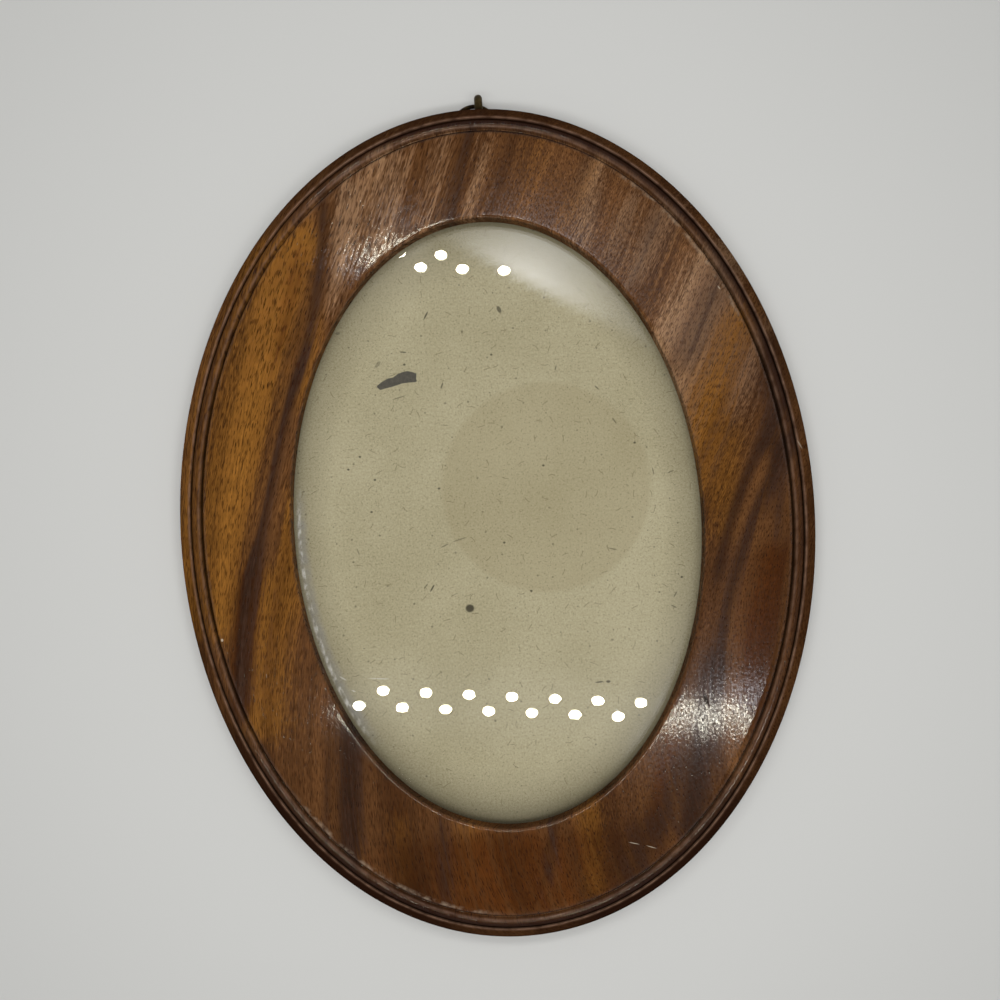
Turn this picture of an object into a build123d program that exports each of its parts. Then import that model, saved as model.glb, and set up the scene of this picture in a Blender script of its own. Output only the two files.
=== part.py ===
from build123d import *
import os
from math import acos, asin, atan2, cos, degrees, radians, sin, sqrt

# Oval picture frame: a ring of solid walnut turned on an oval lathe, glazed from behind, with a
# wire ring to hang it by. Lengths are in millimetres.
# It lies on its back, face up: +Z out of the face, +Y towards the hanger, +X to the right.
# The origin is the centre of the oval, in the plane of the back.

# Oval: every turned line is an ellipse, longer than it is wide by the same offset each way
half_width = 77.25          # widest line of the moulding, half of the short way across
oval_offset = 23.6          # half of the length less half of the width, of every line

# Moulding section, measured across
moulding_width = 28.05      # sight edge to the widest line
band_width = 3.35           # sloping outer band, widest line to arris
outer_quirk_width = 0.75    # narrow groove between arris and bead
outer_quirk_cut_share = 0.7  # how far across that groove its bottom lies
bead_width = 2.15
inner_quirk_width = 0.8     # deeper groove between bead and face
inner_quirk_slope = 0.25    # width of each sloping side of that groove
rebate_width = 4.2          # ledge that the glass lies against

# Moulding section, measured up from the back or down from the face
thickness = 13.0            # back to face
widest_height = 7.5         # top of the upright edge at the widest line
edge_height = 0.7           # upright edge
band_crown = 0.2            # swell of the outer band over its chord
arris_drop = 1.95
outer_quirk_depth = 0.4     # below the arris
bead_outer_drop = 2.0       # outer foot of the bead
bead_inner_drop = 1.2       # inner foot of the bead
bead_rise = 0.85            # crown of the bead over its chord
inner_quirk_depth = 1.65    # below the face
face_round = 1.0            # face to inner quirk
sight_round = 0.8           # face to sight wall

# What the rebate holds, front to back
glass_thickness = 2.0
insert_thickness = 1.5
panel_thickness = 3.0
panel_chamfer = 0.6         # bevel round the back edge of the panel
glass_play = 0.5            # glass to rebate wall, all round
board_play = 0.4            # card and panel to rebate wall, all round
back_recess = 0.7           # brads lie this deep inside the back

# Glazing brads
brad_count = 8
brad_diameter = 1.3
brad_length = 14.0
brad_hold = 6.0             # length driven into the wood
brad_tip = 1.8
brad_head_diameter = 1.8
brad_head = 0.6
brad_seat = 0.02            # brad head to panel

# Screw eye, its wire bent round in a plane square to the back
hanger_side = 1.9           # it stands this far to the right of the middle
eye_wire = 2.0
eye_hole = 1.7
eye_reach = 1.95            # hole centre beyond the widest line
eye_drop = 0.05             # top of the eye below the foot of the upright edge
eye_end_gap = 0.3           # end of the wire to its own neck
neck_bend_share = 0.7       # bend radius of the neck, as a share of the wire
screw_depth = 11.0          # length of the shank inside the wood at its middle
screw_tip = 3.0

# Hanging ring, closed with a butt joint
ring_diameter = 11.0        # of the middle of the wire
ring_wire = 1.0
ring_turn = 13.0            # degrees that the ring has slipped round through the eye
ring_lift = 0.05            # lowest point of the ring over the plane of the back
ring_room = 3.5             # ring to the flat of the back, where the back starts to rise
ring_joint = 0.12
ring_joint_angle = 35.0     # degrees from the far side of the ring to its joint

# Shared clearances
pilot_clearance = 0.02      # screw and brads to their pilot holes, all round
overrun = 1.0               # what a cut runs past the faces it goes through

# Places worked out from the sizes above
sight_half = half_width - moulding_width
rebate_half = sight_half + rebate_width
brad_height = back_recess + brad_head_diameter / 2
panel_height = brad_height + brad_head_diameter / 2 + brad_seat
insert_height = panel_height + panel_thickness
glass_height = insert_height + insert_thickness
rebate_depth = glass_height + glass_thickness

eye_radius = (eye_hole + eye_wire) / 2
eye_outer = eye_radius + eye_wire / 2
hole_y = half_width + oval_offset + eye_reach
hole_z = widest_height - edge_height - eye_drop - eye_outer
hole_centre = Vector(hanger_side, hole_y, hole_z)

ring_radius = ring_diameter / 2
ring_far = ring_radius * (1 + cos(radians(ring_turn)))
ring_slope = asin((hole_z - ring_wire / 2 - ring_lift) / ring_far)
ring_end_y = hole_y - ring_far * cos(ring_slope) - ring_wire / 2
land_in = half_width + oval_offset - (ring_end_y - ring_room)


def oval(half):
    """Filled oval of the family, by half of its width."""
    return Ellipse(half, half + oval_offset)


def oval_plane(half, turn, height):
    """Plane on an oval line: its x axis points straight out of the oval, its z axis up."""
    length = half + oval_offset
    point = (half * cos(turn), length * sin(turn), height)
    outward = (length * cos(turn), half * sin(turn), 0)
    return Plane(origin=point, x_dir=outward, z_dir=(0, 0, 1))


def section_point(inward, height):
    """Point of the moulding section, by its distance in from the widest line."""
    return Vector(half_width - inward, height)


def crown(start, end, rise):
    """Top of an arc over the chord from start to end, on the chord's right."""
    chord = end - start
    return (start + end) / 2 + Vector(chord.Y, -chord.X) * (rise / chord.length)


def spindle(plane, outline):
    """Turned pin along the plane's x axis: outline lists its half section along it."""
    with BuildPart() as pin:
        with BuildSketch(plane):
            with BuildLine():
                Polyline(*outline, close=True)
            make_face()
        revolve(axis=Axis(plane.origin, plane.x_dir))
    return pin.part


# Moulding section, as points from the widest line inwards over the front
arris_in = band_width
quirk_in = arris_in + outer_quirk_width * outer_quirk_cut_share
bead_out_in = arris_in + outer_quirk_width
bead_in_in = bead_out_in + bead_width
groove_out_in = bead_in_in + inner_quirk_slope
groove_in_in = bead_in_in + inner_quirk_width - inner_quirk_slope
face_foot_in = bead_in_in + inner_quirk_width
face_in = face_foot_in + face_round
inner_in = moulding_width + overrun

edge_foot = section_point(0, widest_height - edge_height)
edge_top = section_point(0, widest_height)
arris = section_point(arris_in, thickness - arris_drop)
quirk_bottom = section_point(quirk_in, thickness - arris_drop - outer_quirk_depth)
bead_out = section_point(bead_out_in, thickness - bead_outer_drop)
bead_in = section_point(bead_in_in, thickness - bead_inner_drop)
groove_out = section_point(groove_out_in, thickness - inner_quirk_depth)
groove_in = section_point(groove_in_in, thickness - inner_quirk_depth)
face_foot = section_point(face_foot_in, thickness - face_round)
face_edge = section_point(face_in, thickness)
round_centre = section_point(face_in, thickness - face_round)
round_middle = round_centre + Vector(face_round * cos(radians(45)), face_round * sin(radians(45)))

# Brads: one plane for each, on the rebate wall, pointing out into the wood
brad_planes = [
    oval_plane(rebate_half, radians(360 * (number + 0.5) / brad_count), brad_height)
    for number in range(brad_count)
]


def brad_outline():
    """Half section of a brad, from its head to its tip."""
    radius = brad_diameter / 2
    return [
        (brad_hold - brad_length, 0),
        (brad_hold - brad_length, brad_head_diameter / 2),
        (brad_hold - brad_length + brad_head, brad_head_diameter / 2),
        (brad_hold - brad_length + brad_head, radius),
        (brad_hold - brad_tip, radius),
        (brad_hold, 0),
    ]


def brad_pilot_outline():
    """Half section of the hole that a brad is driven into."""
    radius = brad_diameter / 2 + pilot_clearance
    return [
        (-overrun, 0),
        (-overrun, radius),
        (brad_hold - brad_tip, radius),
        (brad_hold + pilot_clearance, 0),
    ]


# Screw eye: the shank runs in along the plane's x axis, from the neck to the tip
neck_radius = eye_wire * neck_bend_share
neck_reach = sqrt((eye_radius + neck_radius) ** 2 - neck_radius ** 2)
screw_plane = Plane(origin=hole_centre - Vector(0, neck_reach, 0), x_dir=(0, -1, 0))
edge_slope_y = land_in * (1 - hole_z / (widest_height - edge_height))
shank_length = screw_depth + eye_reach + edge_slope_y - neck_reach


def screw_outline(play):
    """Half section of the shank, from the neck to its tip."""
    return [
        (0, 0),
        (0, eye_wire / 2 + play),
        (shank_length - screw_tip, eye_wire / 2 + play),
        (shank_length + play, 0),
    ]


# Turned frame: the section carried round the widest line, then opened, faced and drilled
pilots = [spindle(brad_plane, brad_pilot_outline()) for brad_plane in brad_planes]
pilots.append(spindle(screw_plane, screw_outline(pilot_clearance)))

with BuildPart() as turned_frame:
    with BuildLine() as widest_line:
        EllipticalCenterArc((0, 0), half_width, half_width + oval_offset, arc_size=360)
    with BuildSketch(Plane.XZ) as section:
        with BuildLine():
            ThreePointArc(edge_top, crown(edge_top, arris, band_crown), arris)
            Polyline(arris, quirk_bottom, bead_out)
            ThreePointArc(bead_out, crown(bead_out, bead_in, bead_rise), bead_in)
            Polyline(bead_in, groove_out, groove_in, face_foot)
            ThreePointArc(face_foot, round_middle, face_edge)
            Polyline(
                face_edge,
                section_point(face_in, thickness + overrun),
                section_point(inner_in, thickness + overrun),
                section_point(inner_in, -overrun),
                section_point(land_in, -overrun),
                section_point(land_in, 0),
                edge_foot,
                edge_top,
            )
        make_face()
    sweep(path=widest_line.wire())
    split(bisect_by=Plane.XY, keep=Keep.TOP)
    split(bisect_by=Plane.XY.offset(thickness), keep=Keep.BOTTOM)
    with BuildSketch(Plane.XY.offset(-overrun)):
        oval(sight_half)
    extrude(amount=thickness + 2 * overrun, mode=Mode.SUBTRACT)
    with BuildSketch(Plane.XY.offset(-overrun)):
        oval(rebate_half)
    extrude(amount=rebate_depth + overrun, mode=Mode.SUBTRACT)
    face = turned_frame.faces().filter_by(Axis.Z).sort_by(Axis.Z)[-1]
    fillet(face.inner_wires()[0].edges(), sight_round)
    add(pilots, mode=Mode.SUBTRACT)
turned_frame.part.label = "turned_frame"

# Glass, card and panel: ovals stacked face to face from the ledge of the rebate backwards
with BuildPart() as glass_pane:
    with BuildSketch(Plane.XY.offset(glass_height)):
        oval(rebate_half - glass_play)
    extrude(amount=glass_thickness)
glass_pane.part.label = "glass_pane"

with BuildPart() as insert_board:
    with BuildSketch(Plane.XY.offset(insert_height)):
        oval(rebate_half - board_play)
    extrude(amount=insert_thickness)
insert_board.part.label = "insert_board"

with BuildPart() as back_panel:
    with BuildSketch(Plane.XY.offset(panel_height)):
        oval(rebate_half - board_play)
    extrude(amount=panel_thickness)
    chamfer(back_panel.faces().sort_by(Axis.Z)[0].edges(), panel_chamfer)
back_panel.part.label = "back_panel"

# Glazing brads, lying on the panel with their points in the rebate wall
brads = []
for number, brad_plane in enumerate(brad_planes, start=1):
    with BuildPart() as glazing_brad:
        with BuildSketch(brad_plane):
            with BuildLine():
                Polyline(*brad_outline(), close=True)
            make_face()
        revolve(axis=Axis(brad_plane.origin, brad_plane.x_dir))
    glazing_brad.part.label = f"glazing_brad_{number}"
    brads.append(glazing_brad)

# Screw eye: shank, neck bend and eye in one wire, which stops short of its own neck
neck_centre = Vector(neck_radius, -neck_reach)
neck_turn = degrees(atan2(neck_reach, neck_radius))
neck_middle_angle = radians(180 - neck_turn / 2)
neck_middle = neck_centre + Vector(cos(neck_middle_angle), sin(neck_middle_angle)) * neck_radius
end_space = eye_wire / 2 + eye_end_gap
end_turn = acos(
    (eye_radius**2 + neck_middle.length**2 - end_space**2) / (2 * eye_radius * neck_middle.length)
)
eye_end = degrees(atan2(neck_middle.Y, neck_middle.X) - end_turn)
eye_plane = Plane(origin=hole_centre, x_dir=(0, 0, 1), z_dir=(-1, 0, 0))

with BuildPart() as screw_eye:
    with BuildSketch(screw_plane):
        with BuildLine():
            Polyline(*screw_outline(0), close=True)
        make_face()
    revolve(axis=Axis(screw_plane.origin, screw_plane.x_dir))
    with BuildLine(eye_plane) as eye_line:
        neck = JernArc((0, -neck_reach), (0, 1), neck_radius, -neck_turn)
        JernArc(neck @ 1, neck % 1, eye_radius, 360 + eye_end + neck_turn)
    with BuildSketch(Plane(origin=screw_plane.origin, z_dir=-screw_plane.x_dir)):
        Circle(eye_wire / 2)
    sweep(path=eye_line.wire())
screw_eye.part.label = "screw_eye"

# Hanging ring, lying back under the frame with its far side just over the plane of the back
ring_down = Vector(0, -cos(ring_slope), -sin(ring_slope))
ring_side = Vector(-1, 0, 0)
ring_centre = (
    hole_centre
    + ring_side * (ring_radius * sin(radians(ring_turn)))
    + ring_down * (ring_radius * cos(radians(ring_turn)))
)
joint_turn = radians(ring_turn + ring_joint_angle)
joint_way = ring_side * sin(joint_turn) + ring_down * cos(joint_turn)
ring_axis = ring_down.cross(ring_side)

with BuildPart() as hanging_ring:
    with BuildSketch(Plane(origin=ring_centre, x_dir=joint_way, z_dir=joint_way.cross(ring_axis))):
        with Locations((ring_radius, 0)):
            Circle(ring_wire / 2)
    revolve(axis=Axis(ring_centre, ring_axis), revolution_arc=360 - degrees(ring_joint / ring_radius))
hanging_ring.part.label = "hanging_ring"

# Files: one for each piece
os.makedirs("parts", exist_ok=True)
pieces = [turned_frame, glass_pane, insert_board, back_panel, *brads, screw_eye, hanging_ring]
for piece in pieces:
    export_step(piece.part, f"parts/{piece.part.label}.step")
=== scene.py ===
"""Looks of the oval picture frame: turned walnut, glass, fleck card, back panel, brads and hanger.

The frame lies on its back: +Z out of its face, +Y towards the hanger, +X to the right. Lengths are in
millimetres up to the point where a mesh, a lamp or the camera is made, and in metres from there on.
"""

from __future__ import annotations

import logging
import math
from collections.abc import Mapping, Sequence
from dataclasses import dataclass
from enum import Enum

import bpy
import numpy as np
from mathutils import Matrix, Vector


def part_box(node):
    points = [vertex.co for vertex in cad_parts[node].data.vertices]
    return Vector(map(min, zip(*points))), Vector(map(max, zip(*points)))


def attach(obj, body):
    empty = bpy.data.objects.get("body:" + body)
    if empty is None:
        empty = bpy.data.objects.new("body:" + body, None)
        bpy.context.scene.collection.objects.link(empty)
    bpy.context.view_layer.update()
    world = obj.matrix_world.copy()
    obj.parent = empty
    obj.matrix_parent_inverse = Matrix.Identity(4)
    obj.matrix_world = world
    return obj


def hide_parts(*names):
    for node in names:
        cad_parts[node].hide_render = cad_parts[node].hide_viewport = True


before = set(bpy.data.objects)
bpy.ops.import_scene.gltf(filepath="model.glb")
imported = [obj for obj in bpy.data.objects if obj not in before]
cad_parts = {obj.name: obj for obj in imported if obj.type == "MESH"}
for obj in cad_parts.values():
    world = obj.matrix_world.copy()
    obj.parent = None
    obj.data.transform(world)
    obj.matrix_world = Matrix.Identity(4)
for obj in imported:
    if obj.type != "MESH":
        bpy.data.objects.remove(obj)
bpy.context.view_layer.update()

MM = 0.001  # one millimetre in metres
SMOOTH = {"interpolation_type": "SMOOTHSTEP"}  # for a MapRange that starts and ends softly
Pixels = Sequence[tuple[float, float]]
Size = tuple[float, float, float]  # millimetres along three axes
Value = bpy.types.Node | bpy.types.NodeSocket | float | Sequence[float]

log = logging.getLogger("oval_frame")


def tint(code: str) -> tuple[float, float, float, float]:
    """Linear colour with full alpha of an sRGB hex code such as "#a2997c"."""
    shares = np.array([int(code[k : k + 2], 16) for k in (1, 3, 5)]) / 255
    linear = np.where(shares <= 0.04045, shares / 12.92, ((shares + 0.055) / 1.055) ** 2.4)
    return (*linear.tolist(), 1.0)


def box_mm(node: str) -> tuple[np.ndarray, np.ndarray]:
    """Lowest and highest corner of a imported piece, in millimetres."""
    low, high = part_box(node)
    return np.array(low) / MM, np.array(high) / MM


def linked(name: str, data: bpy.types.ID) -> bpy.types.Object:
    """New object of the scene."""
    made = bpy.data.objects.new(name, data)
    bpy.context.scene.collection.objects.link(made)
    return made


@dataclass(frozen=True)
class Viewpoint:
    """Where the camera stands over the frame. It looks straight down, and the frame leans in its view.

    Attributes:
        frame_px: width and height of the picture.
        focal_px: focal length in pixels of that picture.
        foot: point of the frame's own plane that the camera stands over, in millimetres.
        height: of the camera over the plane of the back, in millimetres.
        lean: degrees that the frame's long axis leans to the left.
        sensor: width of the camera's sensor, in millimetres.
        clip: nearest and farthest that the camera sees, in metres.
    """

    frame_px: float = 1000.0
    focal_px: float = 955.0
    foot: tuple[float, float] = (0.9, 5.5)
    height: float = 240.0
    lean: float = 3.72
    sensor: float = 36.0
    clip: tuple[float, float] = (0.01, 20.0)

    def axes(self) -> np.ndarray:
        """The picture's right and up directions in the frame's plane, one in each row."""
        lean = math.radians(self.lean)
        return np.array([[math.cos(lean), -math.sin(lean)], [math.sin(lean), math.cos(lean)]])

    def on_level(self, pixels: Pixels, level: float) -> np.ndarray:
        """Points of a level plane that pixels of the picture show.

        A pixel's offset from the middle of the picture, times the camera's distance over the focal
        length, is the point's offset from the camera's foot along the picture's own two axes.

        Args:
            pixels: places in the picture, x to the right and y down.
            level: height of the plane over the back, in millimetres.

        Returns:
            An array with one x, y row for each pixel, in millimetres.
        """
        offset = (np.asarray(pixels, float) - self.frame_px / 2) * (1.0, -1.0)
        return np.array(self.foot) + offset * (self.height - level) / self.focal_px @ self.axes()

    def mirrored(self, pixels: Pixels, mirror: float, level: float) -> np.ndarray:
        """Points at a level whose images in a level mirror show at pixels.

        The ray from the camera to the mirror goes on upwards as steeply as it came down.

        Args:
            pixels: places in the picture, x to the right and y down.
            mirror: height of the mirror over the back, in millimetres.
            level: height of the points, in millimetres.

        Returns:
            An array with one x, y row for each pixel, in millimetres.
        """
        spot = self.on_level(pixels, mirror)
        return spot + (spot - self.foot) * (level - mirror) / (self.height - mirror)

    def make_camera(self) -> None:
        """Stand the scene's camera at this viewpoint."""
        data = bpy.data.cameras.new("camera")
        data.sensor_width = self.sensor
        data.lens = self.focal_px / self.frame_px * self.sensor
        data.clip_start, data.clip_end = self.clip
        camera = linked("camera", data)
        camera.location = (self.foot[0] * MM, self.foot[1] * MM, self.height * MM)
        camera.rotation_euler = (0.0, 0.0, -math.radians(self.lean))
        bpy.context.scene.camera = camera


VIEW = Viewpoint()


class Graph:
    """Node tree of one finish, filled a node at a time."""

    def __init__(self, owner: bpy.types.Material | bpy.types.World) -> None:
        """Start an empty tree on a material or on the world."""
        owner.use_nodes = True
        self.tree = owner.node_tree
        self.tree.nodes.clear()

    def add(
        self, kind: str, inputs: Mapping[int | str, Value] | None = None, **settings: object
    ) -> bpy.types.Node:
        """Add a node, with its settings, its values and the links into it.

        Args:
            kind: the node's type, without ShaderNode before it.
            inputs: what goes into each input, by name or by number: a plain value, a socket, or a
                node, whose first output in use is taken.
            **settings: properties of the node.

        Returns:
            The new node.
        """
        node = self.tree.nodes.new("ShaderNode" + kind)
        for name, value in settings.items():
            setattr(node, name, value)
        for key, value in (inputs or {}).items():
            by_name = (s for s in node.inputs if s.enabled and s.name == key)
            socket = node.inputs[key] if isinstance(key, int) else next(by_name)
            if isinstance(value, bpy.types.Node):
                value = next(s for s in value.outputs if s.enabled)
            if isinstance(value, bpy.types.NodeSocket):
                self.tree.links.new(value, socket)
            else:
                socket.default_value = value
        return node


def mesh_object(
    name: str,
    points: np.ndarray,
    faces: Sequence[np.ndarray],
    marks: Mapping[str, np.ndarray] | None = None,
    smooth: bool = True,
) -> bpy.types.Object:
    """Make a closed mesh whose faces point outwards.

    A face's share of the volume is a sixth of the triple product of its corners, added up over the
    fan of triangles from its first corner. Where the sum is negative, every face is turned round.

    Args:
        name: of the object.
        points: one x, y, z row for each vertex, in millimetres.
        faces: arrays of corner numbers, one for each kind of face, such as quads and triangles.
        marks: a number or a vector for each vertex, by attribute name, for the finish to read.
        smooth: whether light runs smoothly over the edges.

    Returns:
        The object, linked to the scene.
    """
    volume = 0.0
    for block in faces:
        corners = points[block]
        wings = np.cross(corners[:, 1:-1], corners[:, 2:])
        volume += float((corners[:, :1] * wings).sum())
    turned = [block[:, ::-1] if volume < 0 else block for block in faces]
    totals = np.concatenate([np.full(len(block), block.shape[1]) for block in turned])
    corners = np.concatenate([block.ravel() for block in turned])

    mesh = bpy.data.meshes.new(name)
    mesh.vertices.add(len(points))
    mesh.vertices.foreach_set("co", (points * MM).astype(np.float32).ravel())
    mesh.loops.add(len(corners))
    mesh.loops.foreach_set("vertex_index", corners.astype(np.int32))
    mesh.polygons.add(len(totals))
    mesh.polygons.foreach_set("loop_start", (np.cumsum(totals) - totals).astype(np.int32))
    mesh.polygons.foreach_set("loop_total", totals.astype(np.int32))
    mesh.polygons.foreach_set("use_smooth", np.full(len(totals), smooth))
    mesh.update(calc_edges=True)
    for mark, values in (marks or {}).items():
        kind, field = ("FLOAT", "value") if values.ndim == 1 else ("FLOAT_VECTOR", "vector")
        data = mesh.attributes.new(mark, kind, "POINT").data
        data.foreach_set(field, values.astype(np.float32).ravel())
    return linked(name, mesh)


def grid_quads(rows: int, columns: int, closed_rows: bool, closed_columns: bool = True) -> np.ndarray:
    """Quads of a grid whose rows and columns each close on themselves or not.

    Corner (row, column) has the number row times columns plus column, so a quad takes a corner, the
    next one in its row, and the two beside them in the next row.

    Args:
        rows: number of rows.
        columns: number of corners in a row.
        closed_rows: whether the last row joins the first.
        closed_columns: whether the end of a row joins its start.

    Returns:
        Rows of four corner numbers.
    """
    row = np.arange(rows if closed_rows else rows - 1)[:, None] * columns
    after = (row + columns) % (rows * columns)
    here = np.arange(columns if closed_columns else columns - 1)
    beside = (here + 1) % columns
    corners = np.broadcast_arrays(row + here, row + beside, after + beside, after + here)
    return np.stack(corners, -1).reshape(-1, 4)


def turns(steps: int) -> np.ndarray:
    """Equal angles all the way round, in radians."""
    return np.arange(steps) * (2 * math.pi / steps)


def bell(off: np.ndarray, spread: float | np.ndarray) -> np.ndarray:
    """Exponential of minus the squared distance over its spread."""
    return np.exp(-((off / spread) ** 2))


@dataclass(frozen=True)
class Oval:
    """Family of ovals that an oval lathe turns: each is longer than wide by the same offset."""

    offset: float

    def around(self, half: np.ndarray, level: np.ndarray, steps: int) -> np.ndarray:
        """Grid of points on the ovals with these half widths, at these levels.

        At an angle t, a point is (half cos t, (half + offset) sin t, level).

        Args:
            half: half width of each oval, in millimetres.
            level: height of each oval over the back, in millimetres.
            steps: number of points round each.

        Returns:
            Rows of points, one oval after another, in millimetres.
        """
        turn = turns(steps)
        x = half[:, None] * np.cos(turn)
        y = (half[:, None] + self.offset) * np.sin(turn)
        return np.stack([x, y, np.broadcast_to(level[:, None], x.shape)], -1).reshape(-1, 3)


def arc(start: np.ndarray, end: np.ndarray, rise: float, steps: int = 12) -> np.ndarray:
    """Points of the circular arc from start to end that bulges to the right of its chord by rise.

    With half chord c and rise h, the radius is (c squared + h squared) / 2h, and half of the arc's
    angle is twice the arc tangent of h over c.

    Args:
        start, end: its two ends.
        rise: how far its middle is from the chord.
        steps: number of points, both ends among them.

    Returns:
        One row for each point.
    """
    chord = end - start
    half = np.hypot(*chord) / 2
    along = chord / (2 * half)
    out = np.array([along[1], -along[0]])
    radius = (half**2 + rise**2) / (2 * rise)
    angle = np.linspace(-1, 1, steps)[:, None] * 2 * math.atan(rise / half)
    return (start + end) / 2 - out * (radius - rise) + radius * (np.sin(angle) * along + np.cos(angle) * out)


class Tone(Enum):
    """Colours that run through the walnut beside its plain brown."""

    PALE = "pale"
    GOLD = "gold"
    RED = "red"
    SLATE = "slate"


@dataclass(frozen=True)
class Streak:
    """One streak of the walnut's figure, running with the grain.

    Attributes:
        path: where its line runs on the face, as pixels of the photograph from the top down.
        left, right: width over which it fades on each side of that line, in millimetres.
        depth: how strong it is, from 0 to 1.
    """

    path: Pixels
    left: float
    right: float
    depth: float

    def mask(self, points: np.ndarray, level: float, fade: float, slant: float) -> np.ndarray:
        """Strength of the streak at each point.

        The line through the path is x as a polynomial of y. The strength falls off as a bell on each
        side and past each end. Below the face the streak moves sideways by slant for each unit of
        depth.

        Args:
            points: one x, y, z row for each, in millimetres.
            level: of the face over the back, in millimetres.
            fade: length over which the streak ends, in millimetres.
            slant: millimetres sideways for each millimetre of depth.

        Returns:
            One strength for each point, from 0 to the streak's depth.
        """
        path = VIEW.on_level(self.path, level)
        line = np.polyfit(path[:, 1], path[:, 0], len(path) - 1)
        inside = np.clip(points[:, 1], path[:, 1].min(), path[:, 1].max())
        slope = np.polyval(np.polyder(line), inside)
        past = points[:, 1] - inside
        off = points[:, 0] - np.polyval(line, inside) - slope * past - slant * (level - points[:, 2])
        return self.depth * bell(off, np.where(off < 0, self.left, self.right)) * bell(past, fade)


FIGURE: dict[Tone, tuple[Streak, ...]] = {
    Tone.SLATE: (
        # Broad dark streak down the left, in three bends
        Streak(((322, 200), (318, 283), (298, 372)), 1.6, 1.7, 0.62),
        Streak(((298, 372), (284, 417), (271, 480), (251, 562)), 0.8, 1.6, 0.75),
        Streak(((251, 562), (242, 612), (237, 690)), 0.9, 2.8, 0.82),
        Streak(((262, 575), (254, 620), (250, 680)), 2.5, 3.5, 0.2),
        # Sharp line and its soft shadow at the top
        Streak(((475, 128), (465, 170), (454, 218)), 3.4, 0.3, 0.64),
        Streak(((507, 140), (495, 212)), 2.4, 2.2, 0.2),
        # Soft bands of the upper right
        Streak(((590, 150), (580, 178)), 3.0, 3.0, 0.3),
        Streak(((640, 185), (623, 225), (607, 265)), 3.0, 3.0, 0.25),
        Streak(((655, 225), (632, 280)), 2.6, 2.6, 0.42),
        Streak(((724, 276), (706, 312), (688, 352)), 5.0, 3.6, 0.55),
        Streak(((707, 335), (683, 394)), 0.5, 0.5, 0.35),
        Streak(((770, 350), (775, 440)), 3.6, 3.6, 0.68),
        Streak(((781, 455), (780, 530)), 3.0, 3.0, 0.5),
        # Two streaks down the right, which meet below
        Streak(((779, 413), (742, 490), (720, 566)), 2.2, 1.8, 0.7),
        Streak(((784, 448), (739, 562), (718, 672)), 1.9, 2.3, 0.74),
        Streak(((712, 672), (702, 740), (690, 820)), 3.4, 4.6, 0.9),
        # Lower edge
        Streak(((644, 830), (636, 880)), 5.0, 4.5, 0.6),
        Streak(((552, 815), (550, 868)), 2.4, 2.2, 0.6),
        Streak(((676, 770), (664, 820)), 3.0, 3.0, 0.6),
        Streak(((442, 830), (446, 882)), 2.4, 2.4, 0.6),
        Streak(((350, 728), (351, 850)), 4.2, 3.8, 0.95),
        Streak(((328, 768), (325, 830)), 1.2, 1.0, 0.5),
    ),
    Tone.GOLD: (
        # Golden wood
        Streak(((300, 250), (262, 380), (228, 520), (214, 620)), 16.0, 5.5, 1.0),
        Streak(((272, 590), (268, 720)), 8.0, 6.0, 0.85),
        Streak(((314, 335), (304, 385)), 2.5, 3.5, 0.6),
        Streak(((294, 500), (282, 600)), 2.5, 4.0, 0.9),
        Streak(((536, 140), (524, 205)), 4.5, 4.5, 0.25),
        Streak(((592, 170), (572, 215)), 4.5, 4.5, 0.35),
        Streak(((678, 240), (642, 310)), 4.0, 4.0, 0.2),
        Streak(((738, 325), (712, 400), (700, 480)), 7.0, 6.0, 0.8),
        Streak(((730, 440), (722, 525)), 4.0, 4.0, 0.65),
        Streak(((590, 805), (594, 880)), 3.6, 3.6, 0.8),
        Streak(((466, 835), (468, 885)), 4.0, 4.0, 0.4),
        Streak(((500, 835), (505, 885)), 5.0, 5.0, 0.3),
        Streak(((400, 830), (404, 872)), 4.0, 4.0, 0.5),
    ),
    Tone.PALE: (
        # Paler, greyer wood of the upper right and of the upper left
        Streak(((724, 250), (684, 330), (664, 400)), 8.0, 8.0, 0.9),
        Streak(((748, 330), (722, 400), (700, 470)), 9.0, 7.0, 0.85),
        Streak(((668, 215), (640, 265)), 5.0, 5.0, 0.6),
        Streak(((598, 172), (586, 232)), 5.0, 2.5, 0.6),
        Streak(((626, 210), (612, 248)), 2.5, 4.0, 0.45),
        Streak(((480, 150), (470, 208)), 2.5, 3.0, 0.4),
        Streak(((440, 140), (432, 215)), 4.5, 4.5, 0.35),
        Streak(((388, 165), (384, 240)), 7.0, 6.0, 0.5),
        Streak(((345, 195), (341, 240)), 3.0, 4.0, 0.65),
        Streak(((342, 264), (334, 305)), 2.5, 3.0, 0.45),
        Streak(((704, 378), (697, 422)), 3.0, 3.0, 0.4),
    ),
    Tone.RED: (
        # Redder, darker wood
        Streak(((772, 560), (745, 710)), 6.0, 6.0, 0.85),
        Streak(((246, 585), (240, 640), (237, 700)), 2.0, 4.0, 1.0),
        Streak(((296, 270), (282, 345)), 4.0, 5.0, 0.42),
        Streak(((667, 760), (655, 820)), 3.0, 3.0, 0.7),
        Streak(((388, 760), (396, 805)), 4.0, 4.0, 0.4),
        Streak(((500, 850), (500, 900)), 40.0, 40.0, 0.75),
    ),
}


@dataclass(frozen=True)
class Mark:
    """Small long or round mark on a level surface, read off the photograph.

    Attributes:
        start, end: its two ends in pixels. They are the same for a dot.
        width: half of its width in pixels.
        depth: how strong it is, from 0 to 1.
    """

    start: tuple[float, float]
    end: tuple[float, float]
    width: float
    depth: float = 1.0


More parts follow.
